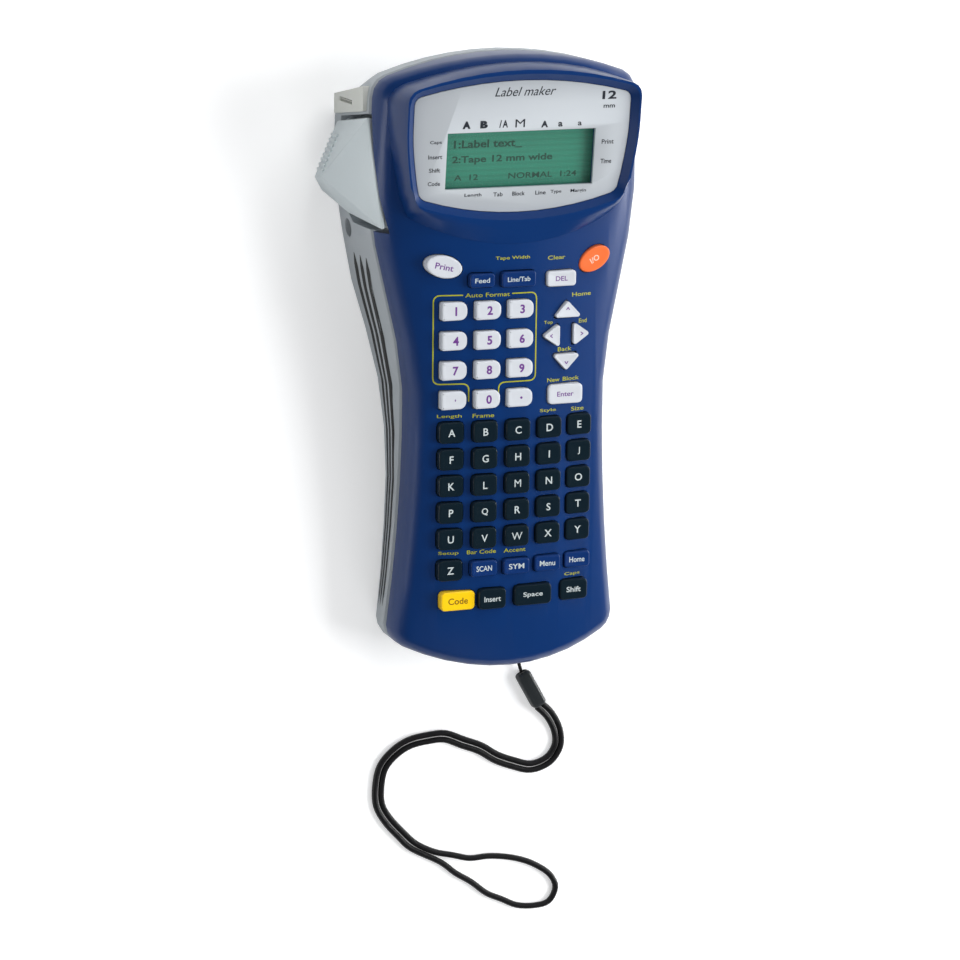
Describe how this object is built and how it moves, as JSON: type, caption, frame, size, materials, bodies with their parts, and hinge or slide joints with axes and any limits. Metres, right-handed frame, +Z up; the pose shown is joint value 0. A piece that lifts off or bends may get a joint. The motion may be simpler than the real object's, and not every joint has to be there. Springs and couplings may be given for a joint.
{
  "type": "label maker",
  "caption": "Handheld label maker: arched body with keys, display under a raised rim, side cutting lever with tape exit, and a cord wrist strap at the foot.",
  "frame": {"origin": "Middle of the footprint of the body's box, strap left out, on the table the device lies on", "axes": "+Y runs from the foot to the display end, +X to the right of someone reading the keys, +Z up; the face leans 8 degrees"},
  "size_m": [0.1108, 0.3217, 0.0685],
  "materials": {
    "body_blue": "smooth",
    "rear_grey": "fine_texture",
    "silver_plastic": "satin",
    "window_glass": "polished",
    "lcd_green": "smooth",
    "frame_white": "smooth",
    "board_green": "smooth",
    "mat_rubber": "matte",
    "steel": "plain",
    "cell_wrap": "smooth",
    "gear_white": "smooth",
    "roller_rubber": "matte",
    "brass": "plain",
    "cassette_plastic": "smooth",
    "tape": "smooth",
    "beige_plastic": "smooth",
    "lever_silver": "satin",
    "socket_black": "smooth",
    "strap_black": "braided",
    "sleeve_grey": "smooth",
    "key_white": "smooth",
    "key_dark": "smooth",
    "key_blue": "smooth",
    "key_orange": "smooth",
    "key_yellow": "smooth"
  },
  "bodies": {
    "root": {"front_case": "body_blue", "rear_case": "rear_grey", "faceplate": "silver_plastic", "lcd_window": "window_glass", "lcd_panel": "lcd_green", "lcd_holder": "frame_white", "main_board": "board_green", "keypad_mat": "mat_rubber", "screws": "steel", "battery_cells": "cell_wrap", "battery_contacts": "steel", "cover_hinge_pin": "steel", "chassis_plate": "steel", "motor": "steel", "print_head": "steel", "tape_cassette": "cassette_plastic", "label_tape": "tape", "tape_exit_block": "beige_plastic", "cutter_anvil": "steel", "lever_pin": "steel", "lever_spring": "steel", "power_socket": "socket_black", "strap_string": "strap_black", "strap_sleeve": "sleeve_grey", "strap_cord": "strap_black"},
    "battery_cover": {"battery_cover": "rear_grey"},
    "cassette_cover": {"cassette_cover": "rear_grey"},
    "platen": {"platen_gear": "gear_white", "platen_shaft": "steel", "platen_roller": "roller_rubber"},
    "idler_low": {"idler_gear_low": "gear_white"},
    "idler_high": {"idler_gear_high": "gear_white"},
    "pinion": {"motor_pinion": "brass"},
    "spool": {"tape_spool": "gear_white"},
    "lever": {"cutter_lever": "lever_silver", "cutter_blade": "steel"},
    "print_key": {"print_key": "key_white"},
    "feed_key": {"feed_key": "key_blue"},
    "line_key": {"line_key": "key_blue"},
    "clear_key": {"clear_key": "key_white"},
    "power_key": {"power_key": "key_orange"},
    "up_key": {"up_key": "key_white"},
    "down_key": {"down_key": "key_white"},
    "left_key": {"left_key": "key_white"},
    "right_key": {"right_key": "key_white"},
    "enter_key": {"enter_key": "key_white"},
    "digit_row_1": {"digit_row_1": "key_white"},
    "digit_row_2": {"digit_row_2": "key_white"},
    "digit_row_3": {"digit_row_3": "key_white"},
    "digit_row_4": {"digit_row_4": "key_white"},
    "letter_row_1": {"letter_row_1": "key_dark"},
    "letter_row_2": {"letter_row_2": "key_dark"},
    "letter_row_3": {"letter_row_3": "key_dark"},
    "letter_row_4": {"letter_row_4": "key_dark"},
    "letter_row_5": {"letter_row_5": "key_dark"},
    "last_letter_key": {"last_letter_key": "key_dark"},
    "function_keys": {"function_keys": "key_blue"},
    "code_key": {"code_key": "key_yellow"},
    "space_key": {"space_key": "key_dark"},
    "shift_keys": {"shift_keys": "key_dark"}
  },
  "joints": [
    {"name": "print_key_press", "type": "slide", "parent": "root", "child": "print_key", "axis": [0, 0.1392, -0.9903], "range_m": [0, 0.0012], "stiffness_N_per_m": 300},
    {"name": "feed_key_press", "type": "slide", "parent": "root", "child": "feed_key", "axis": [0, 0.1392, -0.9903], "range_m": [0, 0.0012], "stiffness_N_per_m": 300},
    {"name": "line_key_press", "type": "slide", "parent": "root", "child": "line_key", "axis": [0, 0.1392, -0.9903], "range_m": [0, 0.0012], "stiffness_N_per_m": 300},
    {"name": "clear_key_press", "type": "slide", "parent": "root", "child": "clear_key", "axis": [0, 0.1392, -0.9903], "range_m": [0, 0.0012], "stiffness_N_per_m": 300},
    {"name": "power_key_press", "type": "slide", "parent": "root", "child": "power_key", "axis": [0, 0.1392, -0.9903], "range_m": [0, 0.0012], "stiffness_N_per_m": 300},
    {"name": "up_key_press", "type": "slide", "parent": "root", "child": "up_key", "axis": [0, 0.1392, -0.9903], "range_m": [0, 0.0012], "stiffness_N_per_m": 300},
    {"name": "down_key_press", "type": "slide", "parent": "root", "child": "down_key", "axis": [0, 0.1392, -0.9903], "range_m": [0, 0.0012], "stiffness_N_per_m": 300},
    {"name": "left_key_press", "type": "slide", "parent": "root", "child": "left_key", "axis": [0, 0.1392, -0.9903], "range_m": [0, 0.0012], "stiffness_N_per_m": 300},
    {"name": "right_key_press", "type": "slide", "parent": "root", "child": "right_key", "axis": [0, 0.1392, -0.9903], "range_m": [0, 0.0012], "stiffness_N_per_m": 300},
    {"name": "enter_key_press", "type": "slide", "parent": "root", "child": "enter_key", "axis": [0, 0.1392, -0.9903], "range_m": [0, 0.0012], "stiffness_N_per_m": 300},
    {"name": "digit_row_1_press", "type": "slide", "parent": "root", "child": "digit_row_1", "axis": [0, 0.1392, -0.9903], "range_m": [0, 0.0012], "stiffness_N_per_m": 300},
    {"name": "digit_row_2_press", "type": "slide", "parent": "root", "child": "digit_row_2", "axis": [0, 0.1392, -0.9903], "range_m": [0, 0.0012], "stiffness_N_per_m": 300},
    {"name": "digit_row_3_press", "type": "slide", "parent": "root", "child": "digit_row_3", "axis": [0, 0.1392, -0.9903], "range_m": [0, 0.0012], "stiffness_N_per_m": 300},
    {"name": "digit_row_4_press", "type": "slide", "parent": "root", "child": "digit_row_4", "axis": [0, 0.1392, -0.9903], "range_m": [0, 0.0012], "stiffness_N_per_m": 300},
    {"name": "letter_row_1_press", "type": "slide", "parent": "root", "child": "letter_row_1", "axis": [0, 0.1392, -0.9903], "range_m": [0, 0.0012], "stiffness_N_per_m": 300},
    {"name": "letter_row_2_press", "type": "slide", "parent": "root", "child": "letter_row_2", "axis": [0, 0.1392, -0.9903], "range_m": [0, 0.0012], "stiffness_N_per_m": 300},
    {"name": "letter_row_3_press", "type": "slide", "parent": "root", "child": "letter_row_3", "axis": [0, 0.1392, -0.9903], "range_m": [0, 0.0012], "stiffness_N_per_m": 300},
    {"name": "letter_row_4_press", "type": "slide", "parent": "root", "child": "letter_row_4", "axis": [0, 0.1392, -0.9903], "range_m": [0, 0.0012], "stiffness_N_per_m": 300},
    {"name": "letter_row_5_press", "type": "slide", "parent": "root", "child": "letter_row_5", "axis": [0, 0.1392, -0.9903], "range_m": [0, 0.0012], "stiffness_N_per_m": 300},
    {"name": "last_letter_key_press", "type": "slide", "parent": "root", "child": "last_letter_key", "axis": [0, 0.1392, -0.9903], "range_m": [0, 0.0012], "stiffness_N_per_m": 300},
    {"name": "function_keys_press", "type": "slide", "parent": "root", "child": "function_keys", "axis": [0, 0.1392, -0.9903], "range_m": [0, 0.0012], "stiffness_N_per_m": 300},
    {"name": "code_key_press", "type": "slide", "parent": "root", "child": "code_key", "axis": [0, 0.1392, -0.9903], "range_m": [0, 0.0012], "stiffness_N_per_m": 300},
    {"name": "space_key_press", "type": "slide", "parent": "root", "child": "space_key", "axis": [0, 0.1392, -0.9903], "range_m": [0, 0.0012], "stiffness_N_per_m": 300},
    {"name": "shift_keys_press", "type": "slide", "parent": "root", "child": "shift_keys", "axis": [0, 0.1392, -0.9903], "range_m": [0, 0.0012], "stiffness_N_per_m": 300},
    {"name": "battery_cover_slide", "type": "slide", "parent": "root", "child": "battery_cover", "axis": [0, 0.1392, -0.9903], "range_m": [0, 0.03]},
    {"name": "cassette_cover_hinge", "type": "hinge", "parent": "root", "child": "cassette_cover", "pos_m": [0.00805, 0.05411, 0.0019], "axis": [-1, 0, 0], "range_deg": [0, 100]},
    {"name": "lever_swing", "type": "hinge", "parent": "root", "child": "lever", "pos_m": [-0.04125, 0.08457, 0.02759], "axis": [0, -0.1392, 0.9903], "range_deg": [0, 6], "stiffness_Nm_per_rad": 0.3},
    {"name": "spool_spin", "type": "hinge", "parent": "root", "child": "spool", "pos_m": [0.02105, 0.07507, 0.01615], "axis": [0, -0.1392, 0.9903], "continuous": true},
    {"name": "platen_spin", "type": "hinge", "parent": "root", "child": "platen", "pos_m": [-0.02195, 0.09739, 0.0305], "axis": [0, -0.1392, 0.9903], "continuous": true},
    {"name": "idler_high_spin", "type": "hinge", "parent": "root", "child": "idler_high", "pos_m": [-0.01118, 0.08311, 0.02849], "axis": [0, -0.1392, 0.9903], "continuous": true},
    {"name": "idler_low_spin", "type": "hinge", "parent": "root", "child": "idler_low", "pos_m": [-0.01468, 0.0596, 0.02519], "axis": [0, -0.1392, 0.9903], "continuous": true},
    {"name": "pinion_spin", "type": "hinge", "parent": "root", "child": "pinion", "pos_m": [-0.01895, 0.04381, 0.02297], "axis": [0, -0.1392, 0.9903], "continuous": true}
  ],
  "couplings": [
    {"joint": "platen_spin", "follows": "spool_spin", "ratio": -6.2963},
    {"joint": "idler_high_spin", "follows": "spool_spin", "ratio": 3.1481},
    {"joint": "idler_low_spin", "follows": "spool_spin", "ratio": -3.1481},
    {"joint": "pinion_spin", "follows": "spool_spin", "ratio": 8.3951}
  ]
}
